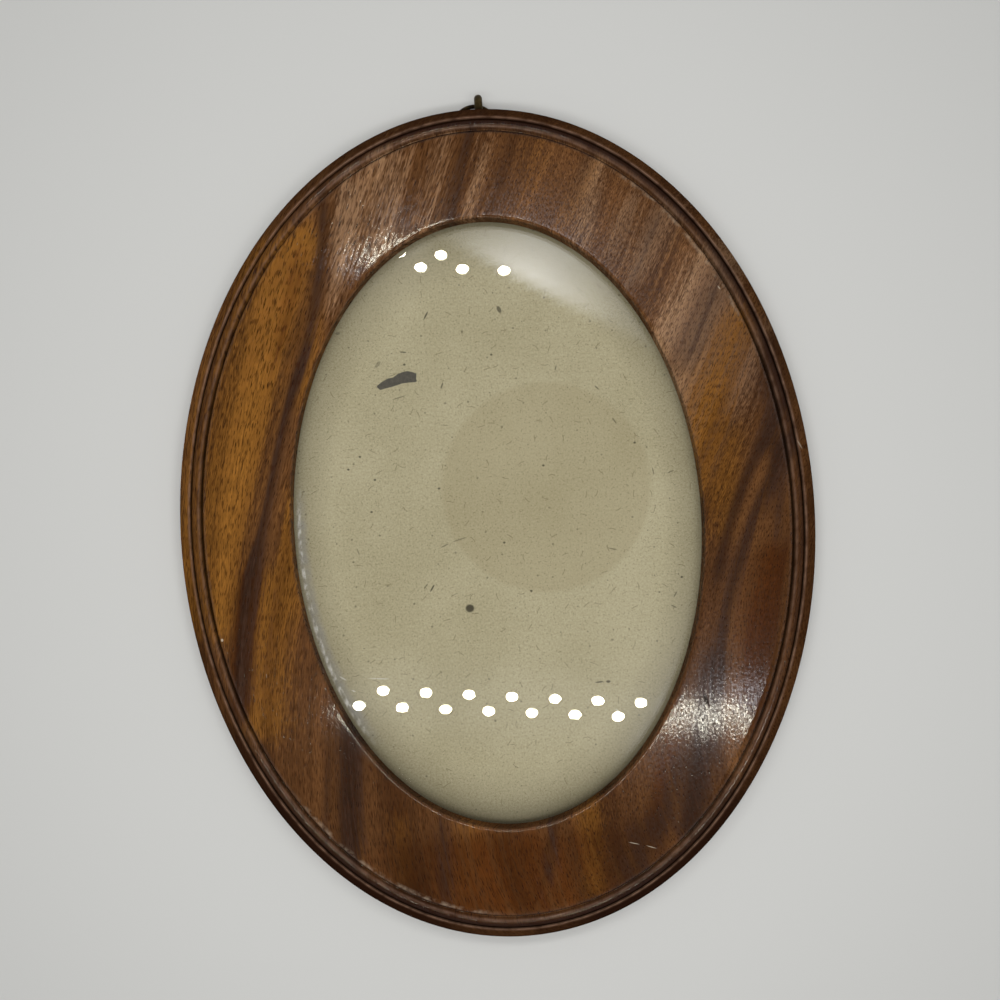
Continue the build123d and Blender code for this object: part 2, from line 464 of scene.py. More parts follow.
def marked(g: Graph, place: Value, marks: Sequence[Mark], level: float, soft: float = 0.5) -> Value:
    """Mask of marks that are ellipses about their own centres.

    A texture mapping brings each mark to a unit circle, and the mark is where the distance from its
    centre is under one.

    Args:
        g: the finish being built.
        place: object coordinates, in metres.
        marks: what to draw.
        level: height of the surface over the back, in millimetres.
        soft: share of a mark's radius at which it is at its full strength.

    Returns:
        The mask, from 0 to the depth of the deepest mark.
    """
    mask: Value = 0.0
    pixel = (VIEW.height - level) / VIEW.focal_px
    for mark in marks:
        start, end = VIEW.on_level((mark.start, mark.end), level)
        middle, reach = (start + end) / 2, (end - start) / 2
        half = float(np.hypot(*reach)) + mark.width * pixel
        own = g.add(
            "Mapping",
            {
                "Vector": place,
                "Location": (middle[0] * MM, middle[1] * MM, level * MM),
                "Rotation": (0.0, 0.0, math.atan2(reach[1], reach[0])),
                "Scale": (half * MM, mark.width * pixel * MM, 1.0),
            },
            vector_type="TEXTURE",
        )
        far = g.add("VectorMath", {0: own}, operation="LENGTH").outputs["Value"]
        inside = g.add("MapRange", {0: far, 1: 1.0, 2: soft, 4: mark.depth}, **SMOOTH)
        mask = g.add("Math", {0: mask, 1: inside}, operation="MAXIMUM")
    return mask


def drift(g: Graph, place: Value, size: Size | float, detail: float = 2.0) -> bpy.types.Node:
    """Noise that varies smoothly about a half.

    Args:
        g: the finish being built.
        place: in millimetres.
        size: of its features, or their size along each axis of the place, in millimetres.
        detail: how many finer layers it has.

    Returns:
        The noise's node.
    """
    pitch = tuple(1 / float(s) for s in np.broadcast_to(size, 3))
    scaled = g.add("VectorMath", {0: place, 1: pitch}, operation="MULTIPLY")
    return g.add("TexNoise", {"Vector": scaled, "Scale": 1.0, "Detail": detail})


def flecks(g: Graph, place: Value, size: Size, reach: float, share: float) -> bpy.types.Node:
    """Mask of dots or dashes, at most one in each cell of a random net.

    A dot covers what lies nearer to its cell's own point than its reach, in units of the cell.

    Args:
        g: the finish being built.
        place: in millimetres.
        size: of a cell along each axis of the place, in millimetres.
        reach: of the largest dots.
        share: of the cells that have a dot.

    Returns:
        The mask's last node.
    """
    scaled = g.add("VectorMath", {0: place, 1: tuple(1 / s for s in size)}, operation="MULTIPLY")
    cells = g.add("TexVoronoi", {"Vector": scaled, "Scale": 1.0}, voronoi_dimensions="2D")
    pick = g.add("SeparateColor", {0: cells.outputs["Color"]})
    outer = g.add("MapRange", {0: pick.outputs["Green"], 3: reach * 0.5, 4: reach})
    inner = g.add("Math", {0: outer, 1: 0.5}, operation="MULTIPLY")
    inside = g.add("MapRange", {0: cells.outputs["Distance"], 1: outer, 2: inner}, **SMOOTH)
    chosen = g.add("Math", {0: pick.outputs["Red"], 1: share}, operation="LESS_THAN")
    return g.add("Math", {0: inside, 1: chosen}, operation="MULTIPLY")


def hairs(g: Graph, place: Value, cell: float, half: float, width: float, share: float) -> bpy.types.Node:
    """Mask of short bent hairs lying any way round, at most one in each cell of a random net.

    In its cell, turned by the cell's own angle, a hair is where y plus a random share of x squared is
    under its width and x is under its half length.

    Args:
        g: the finish being built.
        place: in millimetres.
        cell: size of a cell, in millimetres.
        half: half length of a hair, in cells.
        width: half width of a hair, in millimetres.
        share: of the cells that have a hair.

    Returns:
        The mask's last node.
    """
    most_bend = 1.5
    scaled = g.add("VectorMath", {0: place, "Scale": 1 / cell}, operation="SCALE")
    cells = g.add("TexVoronoi", {"Vector": scaled, "Scale": 1.0}, voronoi_dimensions="2D")
    pick = g.add("SeparateColor", {0: cells.outputs["Color"]})
    own = g.add("VectorMath", {0: scaled, 1: cells.outputs["Position"]}, operation="SUBTRACT")
    way = g.add("Math", {0: pick.outputs["Red"], 1: math.tau}, operation="MULTIPLY")
    turned = g.add("VectorRotate", {"Vector": own, "Angle": way}, rotation_type="Z_AXIS")
    axes = g.add("SeparateXYZ", {0: turned})
    square = g.add("Math", {0: axes.outputs["X"], 1: 2.0}, operation="POWER")
    bend = g.add("Math", {0: pick.outputs["Blue"], 1: 2 * most_bend, 2: -most_bend}, operation="MULTIPLY_ADD")
    off = g.add("Math", {0: square, 1: bend, 2: axes.outputs["Y"]}, operation="MULTIPLY_ADD")
    off = g.add("Math", {0: off}, operation="ABSOLUTE")
    thin = g.add("MapRange", {0: off, 1: width / cell, 2: 0.3 * width / cell})
    along = g.add("Math", {0: axes.outputs["X"]}, operation="ABSOLUTE")
    short = g.add("MapRange", {0: along, 1: half, 2: half * 0.8})
    both = g.add("Math", {0: thin, 1: short}, operation="MULTIPLY")
    chosen = g.add("Math", {0: pick.outputs["Green"], 1: share}, operation="LESS_THAN")
    return g.add("Math", {0: both, 1: chosen}, operation="MULTIPLY")


def started(name: str) -> tuple[bpy.types.Material, Graph, Value, Value]:
    """Start a finish that has a pattern.

    Args:
        name: of its material.

    Returns:
        The material, its graph, and object coordinates in metres and in millimetres.
    """
    material = bpy.data.materials.new(name)
    g = Graph(material)
    place = g.add("TexCoord").outputs["Object"]
    return material, g, place, g.add("VectorMath", {0: place, "Scale": 1 / MM}, operation="SCALE")


def painted(g: Graph, colour: Value, coats: Sequence[tuple[Value, float, str]]) -> Value:
    """Lay colours over one another, each as strongly as its mask times its weight.

    Args:
        g: the finish being built.
        colour: what lies under them.
        coats: mask, weight and hex code of each, from the lowest up.

    Returns:
        The colour with all of them on it.
    """
    for mask, weight, code in coats:
        share = g.add("Math", {0: mask, 1: weight}, operation="MULTIPLY", use_clamp=True)
        colour = g.add("Mix", {"Factor": share, "A": colour, "B": tint(code)}, data_type="RGBA")
    return colour


@dataclass(frozen=True)
class Walnut:
    """Solid walnut, turned, stained by age and french polished.

    It is dense and warm brown with slate streaks, short dark pores and a thin clear gloss film that
    has sunk a little into the pores. Grooves hold old polish and dust, darkened further by painted shade;
    ridges are rubbed paler, and lighter still where highlights are painted on them; the band and the bead
    carry painted shade round the ring.
    """

    plain_dark: str = "#452b17"
    plain_light: str = "#664325"
    gold_dark: str = "#603d18"
    gold_light: str = "#885a24"
    pale_dark: str = "#75563d"
    pale_light: str = "#9d7b5b"
    red_dark: str = "#301808"
    red_light: str = "#4f2b10"
    slate_dark: str = "#190d07"
    slate_light: str = "#453024"
    pore: str = "#1c0d05"
    fine_pore: str = "#341a09"
    # The patina, grime and rubbed colours below carry painted light too: the patina paints shade on the band,
    # the bead and the wall under the sight edge; the grime paints shade in the quirks and in a dent; the
    # rubbed colour paints highlights on the arris and on the bead's crown.
    patina_and_shade_colour: str = "#23120a"
    grime_and_shade: str = "#0a0502"
    rubbed_and_highlight: str = "#93735e"
    residue: str = "#a3917b"
    bare: str = "#c9bda6"
    bend: Size = (34.0, 60.0, 34.0)  # this and the next ones are across, along and into the grain
    bend_reach: float = 3.5
    growth: Size = (8.0, 240.0, 40.0)
    lines: Size = (1.1, 60.0, 8.0)
    line_height: float = 0.03
    fibres: Size = (0.3, 3.0, 1.0)  # coarser than real ones, so that they show
    fibre_height: float = 0.006
    ripple: Size = (14.0, 4.5, 20.0)
    pores: Size = (0.62, 4.6, 1.0)
    pore_depth: float = 0.01
    fine_pores: Size = (0.3, 2.2, 1.0)
    sunk_polish: Size = (0.5, 1.3, 0.5)  # where the polish has sunk into the grain and shines less
    peel: float = 0.55  # faint orange peel of the polish
    peel_height: float = 0.009
    wear_patch: float = 2.5
    crumb: float = 1.5
    roughness: float = 0.5
    groove_roughness: float = 0.25  # added where a groove holds grime
    coat_roughness: float = 0.075

    # Knocks through the polish, read off the photograph
    CHIPS = (
        Mark((222, 640), (222, 640.5), 1.6),
        Mark((628, 842), (640, 844.5), 0.5, 0.7),
        Mark((646, 845.5), (657, 848.5), 0.5, 0.7),
        Mark((800, 440), (806, 448), 1.2, 0.4),
        Mark((718, 286), (720, 289), 0.9, 0.5),
    )
    # A dent in the polish, painted dark with its shade in the highlight
    DENTS = (Mark((704, 695), (709, 706), 3.0),)

    def make(self, face: float) -> bpy.types.Material:
        """Build the material.

        Args:
            face: level of the frame's face over the back, in millimetres.

        Returns:
            The material.
        """
        material, g, place, spot = started("french_polished_walnut")
        grain = g.add("Attribute", attribute_name="grain").outputs["Vector"]
        axes = g.add("SeparateXYZ", {0: grain})
        bend = drift(g, grain, self.bend)
        across = g.add("Math", {0: bend, 1: self.bend_reach, 2: axes.outputs["X"]}, operation="MULTIPLY_ADD")
        wood = g.add("CombineXYZ", {0: across, 1: axes.outputs["Y"], 2: axes.outputs["Z"]})
        lines, fibres = drift(g, wood, self.lines, 3.0), drift(g, wood, self.fibres)
        pores = flecks(g, wood, self.pores, reach=0.2, share=0.7)
        fine = drift(g, wood, self.fine_pores, 1.0)
        fine = g.add("MapRange", {0: fine, 1: 0.52, 2: 0.66}, **SMOOTH)
        worn, groove, dull, age, crust = (
            g.add("Attribute", attribute_name=name).outputs["Fac"]
            for name in ("worn", "groove", "dull", "age", "residue")
        )
        patchy = drift(g, spot, self.wear_patch, 4.0)
        patchy = g.add("MapRange", {0: patchy, 1: 0.35, 2: 0.6, 3: 0.3})
        crumbs = g.add("MapRange", {0: drift(g, spot, self.crumb, 6.0), 1: 0.42, 2: 0.7})
        worn = g.add("Math", {0: worn, 1: patchy}, operation="MULTIPLY")
        crust = g.add("Math", {0: crust, 1: crumbs}, operation="MULTIPLY")
        dents = marked(g, place, self.DENTS, face, soft=0.2)
        coats = (
            (fine, 0.6, self.fine_pore),
            (pores, 0.75, self.pore),
            # patina of the hidden wood, with painted shade on the band, the bead and the wall under the sight
            # edge
            (age, 0.95, self.patina_and_shade_colour),
            # grime and painted shade in the quirks
            (groove, 0.9, self.grime_and_shade),
            # wear, with painted highlights on the arris and on the bead's crown
            (worn, 0.9, self.rubbed_and_highlight),
            (crust, 0.7, self.residue),
            (marked(g, place, self.CHIPS, face), 0.8, self.bare),
            # a dent painted dark with its shade
            (dents, 0.8, self.grime_and_shade),
        )
        relief: Value = 0.0
        for pattern, height in (
            (fibres, self.fibre_height),
            (lines, self.line_height),
            (pores, -self.pore_depth),
            (drift(g, spot, self.peel), self.peel_height),
        ):
            relief = g.add("Math", {0: pattern, 1: height, 2: relief}, operation="MULTIPLY_ADD")
        bump = g.add("Bump", {"Height": relief, "Strength": 1.0, "Distance": MM})
        rough = {0: groove, 1: self.groove_roughness, 2: self.roughness}
        coat: Value = 1.0
        for mask, much, clamp in ((dull, 1.1, False), (groove, 0.8, False), (dents, 0.9, True)):
            coat = g.add("Math", {0: mask, 1: -much, 2: coat}, operation="MULTIPLY_ADD", use_clamp=clamp)
        sunk = drift(g, grain, self.sunk_polish, 3.0)
        sunk = g.add("MapRange", {0: sunk, 1: 0.42, 2: 0.58, 3: 0.25})
        shader = g.add(
            "BsdfPrincipled",
            {
                "Base Color": painted(g, self.figured(g, wood, lines, fibres), coats),
                "Roughness": g.add("Math", rough, operation="MULTIPLY_ADD"),
                "Specular IOR Level": 0.0,
                "Normal": bump,
                "Coat Weight": g.add("Math", {0: coat, 1: sunk}, operation="MULTIPLY"),
                "Coat Roughness": self.coat_roughness,
                "Coat Normal": bump,
            },
        )
        g.add("OutputMaterial", {"Surface": shader})
        return material

    def figured(self, g: Graph, wood: Value, lines: Value, fibres: Value) -> Value:
        """Colour of the wood: plain brown, its figure's tones over it, then fine light and shade.

        Args:
            g: the finish being built.
            wood: place in the plank, in millimetres.
            lines, fibres: patterns of the grain lines and of the fibres.

        Returns:
            The colour.
        """
        growth, ripple = drift(g, wood, self.growth, 4.0), drift(g, wood, self.ripple)
        light = g.add("MapRange", {0: growth, 1: 0.3, 2: 0.7}, **SMOOTH)
        ends = {"A": tint(self.plain_dark), "B": tint(self.plain_light)}
        colour = g.add("Mix", {"Factor": light, **ends}, data_type="RGBA")
        for tone, share, dark, pale in (
            (Tone.PALE, light, self.pale_dark, self.pale_light),
            (Tone.GOLD, light, self.gold_dark, self.gold_light),
            (Tone.RED, light, self.red_dark, self.red_light),
            (Tone.SLATE, lines, self.slate_dark, self.slate_light),
        ):
            own = g.add("Mix", {"Factor": share, "A": tint(dark), "B": tint(pale)}, data_type="RGBA")
            mask = self.ragged(g, tone, lines, fibres)
            colour = g.add("Mix", {"Factor": mask, "A": colour, "B": own}, data_type="RGBA")
        weights = {lines: 0.8, fibres: 1.5, ripple: 0.4}
        shade: Value = 1 - sum(weights.values()) / 2
        for pattern, weight in weights.items():
            shade = g.add("Math", {0: pattern, 1: weight, 2: shade}, operation="MULTIPLY_ADD")
        return g.add("VectorMath", {0: colour, "Scale": shade}, operation="SCALE")

    @staticmethod
    def ragged(g: Graph, tone: Tone, lines: Value, fibres: Value) -> bpy.types.Node:
        """Mask of a tone, whose soft edge breaks up along the grain lines and fibres.

        Args:
            g: the finish being built.
            tone: which of the mesh's tones.
            lines, fibres: patterns of the grain lines and of the fibres.

        Returns:
            The mask's last node.
        """
        plain = g.add("Attribute", attribute_name=tone.value).outputs["Fac"]
        stir = g.add("Math", {0: lines, 1: 1.2, 2: plain}, operation="MULTIPLY_ADD")
        stir = g.add("Math", {0: fibres, 1: 0.8, 2: stir}, operation="MULTIPLY_ADD")
        return g.add("MapRange", {0: stir, 1: 1.1, 2: 1.9}, **SMOOTH)


@dataclass(frozen=True)
class WindowGlass:
    """Old drawn window glass: clear, flat and almost without colour."""

    colour: str = "#fdfefc"
    ior: float = 1.5

    def make(self) -> bpy.types.Material:
        """Build the material.

        Returns:
            The material.
        """
        material = bpy.data.materials.new("old_window_glass")
        g = Graph(material)
        shader = g.add(
            "BsdfPrincipled",
            {"Base Color": tint(self.colour), "Roughness": 0.0, "IOR": self.ior, "Transmission Weight": 1.0},
        )
        g.add("OutputMaterial", {"Surface": shader})
        return material


@dataclass(frozen=True)
class FleckCard:
    """Greyish beige pulp card, unprinted, with specks and short hairs left in it and an old stain."""

    pale: str = "#b3aa8d"
    dark: str = "#9c9375"
    hair: str = "#6a6147"
    speck: str = "#39342a"
    stain: str = "#978b6b"
    # colour of the shadow painted on the card under the lip
    lip_shadow_colour: str = "#2f2717"
    bloom: str = "#868483"
    dust: str = "#d2cec6"
    sight: tuple[float, float] = (49.2, 72.8)  # half width and half length of the opening over it
    pulp: float = 0.5
    cloud: float = 22.0
    bump_depth: float = 0.1

    # Scratches of the glass, and the card's stain, specks and longer hairs, read off the photograph
    SCRATCHES = (
        Mark((367, 678), (392, 678.5), 0.6),
        Mark((352, 690), (356, 691), 0.8),
        Mark((340, 676), (347, 680), 0.9, 0.8),
        Mark((616, 709), (618, 711), 1.2),
    )
    STAIN = Mark((546, 487), (546, 487.5), 108.0, 0.36)
    SPECKS = (
        Mark((469.5, 608), (470.5, 608), 4.8),
        Mark((498, 308), (500, 312), 2.4, 0.8),
        Mark((424, 320), (428, 312), 1.0, 0.9),
        Mark((400, 352.3), (406.5, 353), 0.9, 0.8),
        Mark((391, 400.5), (407, 395.5), 0.7, 0.55),
        Mark((443, 383), (441, 389), 0.9, 0.8),
        Mark((430.5, 591.5), (434.5, 584.5), 1.0, 0.9),
        Mark((424.3, 588.5), (428, 583.5), 0.8, 0.7),
        Mark((452, 542), (467, 537), 0.8, 0.55),
        Mark((441, 547.5), (449, 543.5), 0.8, 0.6),
        Mark((607, 547.5), (617, 549.7), 0.8, 0.55),
        Mark((612, 418), (615.7, 423.3), 0.9, 0.6),
        Mark((594.5, 386), (598.5, 389.7), 0.9, 0.7),
        Mark((652, 467.5), (653.5, 475), 0.8, 0.6),
        Mark((667, 473), (673, 470.3), 0.8, 0.6),
        Mark((673.3, 596.7), (676.5, 591.3), 0.8, 0.7),
        Mark((670.7, 604.7), (676, 607.3), 0.8, 0.7),
        Mark((357.6, 548.7), (359.7, 555), 0.8, 0.5),
        Mark((555, 370.5), (556, 366), 0.8, 0.7),
        Mark((595, 682), (603, 681), 0.9, 0.9),
        Mark((607, 681), (609, 681), 1.6, 0.9),
        Mark((376.5, 367), (379.5, 363), 2.2, 0.45),
        Mark((337, 334), (339, 334), 1.8, 0.5),
        *(
            Mark(spot, (spot[0] + 0.5, spot[1]), 1.3, 0.9)
            for spot in (
                (491, 355), (543, 465.5), (404.3, 365), (348.5, 469.7), (439, 488.5), (531, 590.6),
                (681, 576.7), (634, 442.7), (371.7, 512), (375, 480), (360, 457), (504, 542.5),
            )
        ),
    )

    def make(self, level: float) -> bpy.types.Material:
        """Build the material.

        Args:
            level: of the card's face over the back, in millimetres.

        Returns:
            The material.
        """
        material, g, place, spot = started("fleck_card")
        pulp, cloud = drift(g, spot, self.pulp, 3.0), drift(g, spot, self.cloud, 3.0)
        share = g.add("Math", {0: cloud, 1: 0.6, 2: pulp}, operation="MULTIPLY_ADD")
        share = g.add("MapRange", {0: share, 1: 0.58, 2: 1.02})
        colour = g.add("Mix", {"Factor": share, "A": tint(self.dark), "B": tint(self.pale)}, data_type="RGBA")
        out = self.way_out(g, spot)
        film, dust = self.film(g, spot, out)
        coats = (
            (marked(g, place, (self.STAIN,), level, soft=0.93), 1.0, self.stain),
            # painted shadow of the lip on the card, darker towards the bottom
            (self.painted_lip_shadow(g, spot, out), 1.0, self.lip_shadow_colour),
            (film, 0.55, self.bloom),
            (dust, 0.8, self.dust),
            (marked(g, place, self.SCRATCHES, level), 0.6, self.dust),
            (hairs(g, spot, cell=4.6, half=0.2, width=0.13, share=0.4), 0.65, self.hair),
            (hairs(g, spot, cell=2.2, half=0.18, width=0.11, share=0.42), 0.5, self.hair),
            (flecks(g, spot, (1.0, 1.0, 1.0), reach=0.22, share=0.7), 0.42, self.hair),
            (flecks(g, spot, (6.0, 6.0, 6.0), reach=0.06, share=0.5), 0.5, self.speck),
            (marked(g, place, self.SPECKS, level, soft=0.6), 0.9, self.speck),
        )
        bump = g.add("Bump", {"Height": pulp, "Strength": 0.3, "Distance": self.bump_depth * MM})
        shader = g.add(
            "BsdfPrincipled",
            {
                "Base Color": painted(g, colour, coats),
                "Roughness": 0.9,
                "Specular IOR Level": 0.2,
                "Normal": bump,
            },
        )
        g.add("OutputMaterial", {"Surface": shader})
        return material

    @staticmethod
    def painted_lip_shadow(g: Graph, spot: Value, out: Value) -> Value:
        """Mask of the shadow painted on the card near the edge of the opening, under the lip.

        It rises evenly with the way out, and at the lower end with its third power as well.

        Args:
            g: the finish being built.
            spot: place in millimetres.
            out: share of the way out to the edge.

        Returns:
            The mask.
        """
        near = g.add("MapRange", {0: out, 1: 0.82, 2: 1.0})
        steep = g.add("Math", {0: near, 1: 3.0}, operation="POWER")
        along = g.add("SeparateXYZ", {0: spot}).outputs["Y"]
        low = g.add("MapRange", {0: along, 1: -30.0, 2: -70.0, 4: 0.42})
        steep = g.add("Math", {0: steep, 1: low}, operation="MULTIPLY")
        return g.add("Math", {0: near, 1: 0.34, 2: steep}, operation="MULTIPLY_ADD")

    def way_out(self, g: Graph, spot: Value) -> Value:
        """Share of the way from the middle to the edge of the opening.

        It is the length of (x over half width, y over half length).

        Args:
            g: the finish being built.
            spot: place in millimetres.

        Returns:
            The share, which is 1 at the edge.
        """
        scale = (1 / self.sight[0], 1 / self.sight[1], 0.0)
        flat = g.add("VectorMath", {0: spot, 1: scale}, operation="MULTIPLY")
        return g.add("VectorMath", {0: flat}, operation="LENGTH").outputs["Value"]

    def film(self, g: Graph, spot: Value, out: Value) -> tuple[Value, Value]:
        """Masks of the milky film and of the dust that lie along the left edge of the opening.

        Both are a narrow stretch of the way out, times a stretch along the edge, times the left half.

        Args:
            g: the finish being built.
            spot: place in millimetres.
            out: share of the way out to the edge.

        Returns:
            The mask of the film, and that of the dust.
        """
        axes = g.add("SeparateXYZ", {0: spot})
        window: Value = g.add("MapRange", {0: axes.outputs["X"], 1: 0.0, 2: -10.0})
        for start, full in ((14.0, 2.0), (-54.0, -42.0)):
            fade = g.add("MapRange", {0: axes.outputs["Y"], 1: start, 2: full}, **SMOOTH)
            window = g.add("Math", {0: window, 1: fade}, operation="MULTIPLY")
        masks = []
        for rise, full, fall in ((0.93, 0.965, 1.0), (0.968, 0.978, 0.995)):
            inner = g.add("MapRange", {0: out, 1: rise, 2: full}, **SMOOTH)
            outer = g.add("MapRange", {0: out, 1: fall, 2: (full + fall) / 2})
            both = g.add("Math", {0: inner, 1: outer}, operation="MULTIPLY")
            masks.append(g.add("Math", {0: both, 1: window}, operation="MULTIPLY"))
        cloud = g.add("MapRange", {0: drift(g, spot, 3.0, 4.0), 1: 0.3, 2: 0.6, 3: 0.4})
        grit = g.add("MapRange", {0: drift(g, spot, (0.8, 1.7, 0.8), 5.0), 1: 0.44, 2: 0.66})
        return (
            g.add("Math", {0: masks[0], 1: cloud}, operation="MULTIPLY"),
            g.add("Math", {0: masks[1], 1: grit}, operation="MULTIPLY"),
        )


@dataclass(frozen=True)
class AgedMetal:
    """Wire that has gone dull with age: dark tarnish with brighter metal where it rubs."""

    name: str
    bright: str
    tarnish: str
    roughness: float = 0.42
    patch: float = 1.6
    pit: float = 0.3
    pit_depth: float = 0.05

    def make(self) -> bpy.types.Material:
        """Build the material.

        Returns:
            The material.
        """
        material, g, _, spot = started(self.name)
        patches = drift(g, spot, self.patch, 4.0)
        share = g.add("MapRange", {0: patches, 1: 0.35, 2: 0.7})
        colour = g.add(
            "Mix", {"Factor": share, "A": tint(self.tarnish), "B": tint(self.bright)}, data_type="RGBA"
        )
        rough = g.add("MapRange", {0: patches, 1: 0.3, 2: 0.7, 3: self.roughness + 0.2, 4: self.roughness})
        pits = {"Height": drift(g, spot, self.pit), "Strength": 0.4, "Distance": self.pit_depth * MM}
        shader = g.add(
            "BsdfPrincipled",
            {"Base Color": colour, "Metallic": 1.0, "Roughness": rough, "Normal": g.add("Bump", pits)},
        )
        g.add("OutputMaterial", {"Surface": shader})
        return material


@dataclass(frozen=True)
class DriedPaint:
    """Flake of old dark paint, dull and dusty."""

    colour: str = "#4b4740"
    dusty: str = "#6f6a5c"

    def make(self) -> bpy.types.Material:
        """Build the material.

        Returns:
            The material.
        """
        material, g, _, spot = started("old_paint_flake")
        dust = g.add("MapRange", {0: drift(g, spot, 0.7, 3.0), 1: 0.35, 2: 0.8, 4: 0.4})
        ends = {"A": tint(self.colour), "B": tint(self.dusty)}
        colour = g.add("Mix", {"Factor": dust, **ends}, data_type="RGBA")
        shader = g.add("BsdfPrincipled", {"Base Color": colour, "Roughness": 0.8})
        g.add("OutputMaterial", {"Surface": shader})
        return material


@dataclass(frozen=True)
class PanelWood:
    """Thin plain sawn board, unpolished and brown with age, its grain along the frame."""

    dark: str = "#6a4c2f"
    pale: str = "#9b7a50"
    dusty: str = "#54463a"
    bend: Size = (30.0, 90.0, 30.0)
    bend_reach: float = 7.0
    rings: Size = (2.6, 160.0, 12.0)
    fibres: Size = (0.35, 9.0, 1.5)
    dust_patch: float = 14.0
    saw_depth: float = 0.08

    def make(self) -> bpy.types.Material:
        """Build the material.

        Returns:
            The material.
        """
        material, g, _, spot = started("aged_thin_board")
        bend = drift(g, spot, self.bend)
        axes = g.add("SeparateXYZ", {0: spot})
        across = g.add("Math", {0: bend, 1: self.bend_reach, 2: axes.outputs["X"]}, operation="MULTIPLY_ADD")
        wood = g.add("CombineXYZ", {0: across, 1: axes.outputs["Y"], 2: axes.outputs["Z"]})
        rings = drift(g, wood, self.rings, 3.0)
        fibres = drift(g, wood, self.fibres)
        share = g.add("Math", {0: fibres, 1: 0.35, 2: rings}, operation="MULTIPLY_ADD")
        share = g.add("MapRange", {0: share, 1: 0.45, 2: 0.9})
        colour = g.add("Mix", {"Factor": share, "A": tint(self.dark), "B": tint(self.pale)}, data_type="RGBA")
        dust = g.add("MapRange", {0: drift(g, spot, self.dust_patch, 4.0), 1: 0.45, 2: 0.75, 4: 0.35})
        colour = g.add("Mix", {"Factor": dust, "A": colour, "B": tint(self.dusty)}, data_type="RGBA")
        bump = g.add("Bump", {"Height": share, "Strength": 0.5, "Distance": self.saw_depth * MM})
        shader = g.add("BsdfPrincipled", {"Base Color": colour, "Roughness": 0.75, "Normal": bump})
        g.add("OutputMaterial", {"Surface": shader})
        return material


def grain_field(points: np.ndarray) -> np.ndarray:
    """Place of each point in the plank that the frame was turned from, in millimetres.

    The first number runs across the grain and stays the same along it: x less a drift, which is y
    times a polynomial of x and y fitted to the lean of the pores round the photograph, with x in
    units of 75 mm and y in units of 100 mm. The second runs along the grain, faster on the right,
    where the fibres dive into the face and the pores are cut short. The third is the depth, which
    also shifts the first a little.

    Args:
        points: one x, y, z row for each, in millimetres.

    Returns:
        One row of three for each point.
    """
    x, y = points[:, 0] / 75, points[:, 1] / 100
    lean = 42.09 + 6.98 * x + 17.54 * y - 18.66 * x**2 + 14.19 * x * y - 17.68 * y**2
    dive = np.clip((x + 0.05) / 0.6, 0, 1)
    dive = dive * dive * (3 - 2 * dive)
    return np.stack(
        [points[:, 0] - y * lean + 0.3 * points[:, 2], points[:, 1] * (1 + 1.0 * dive), points[:, 2]], -1
    )


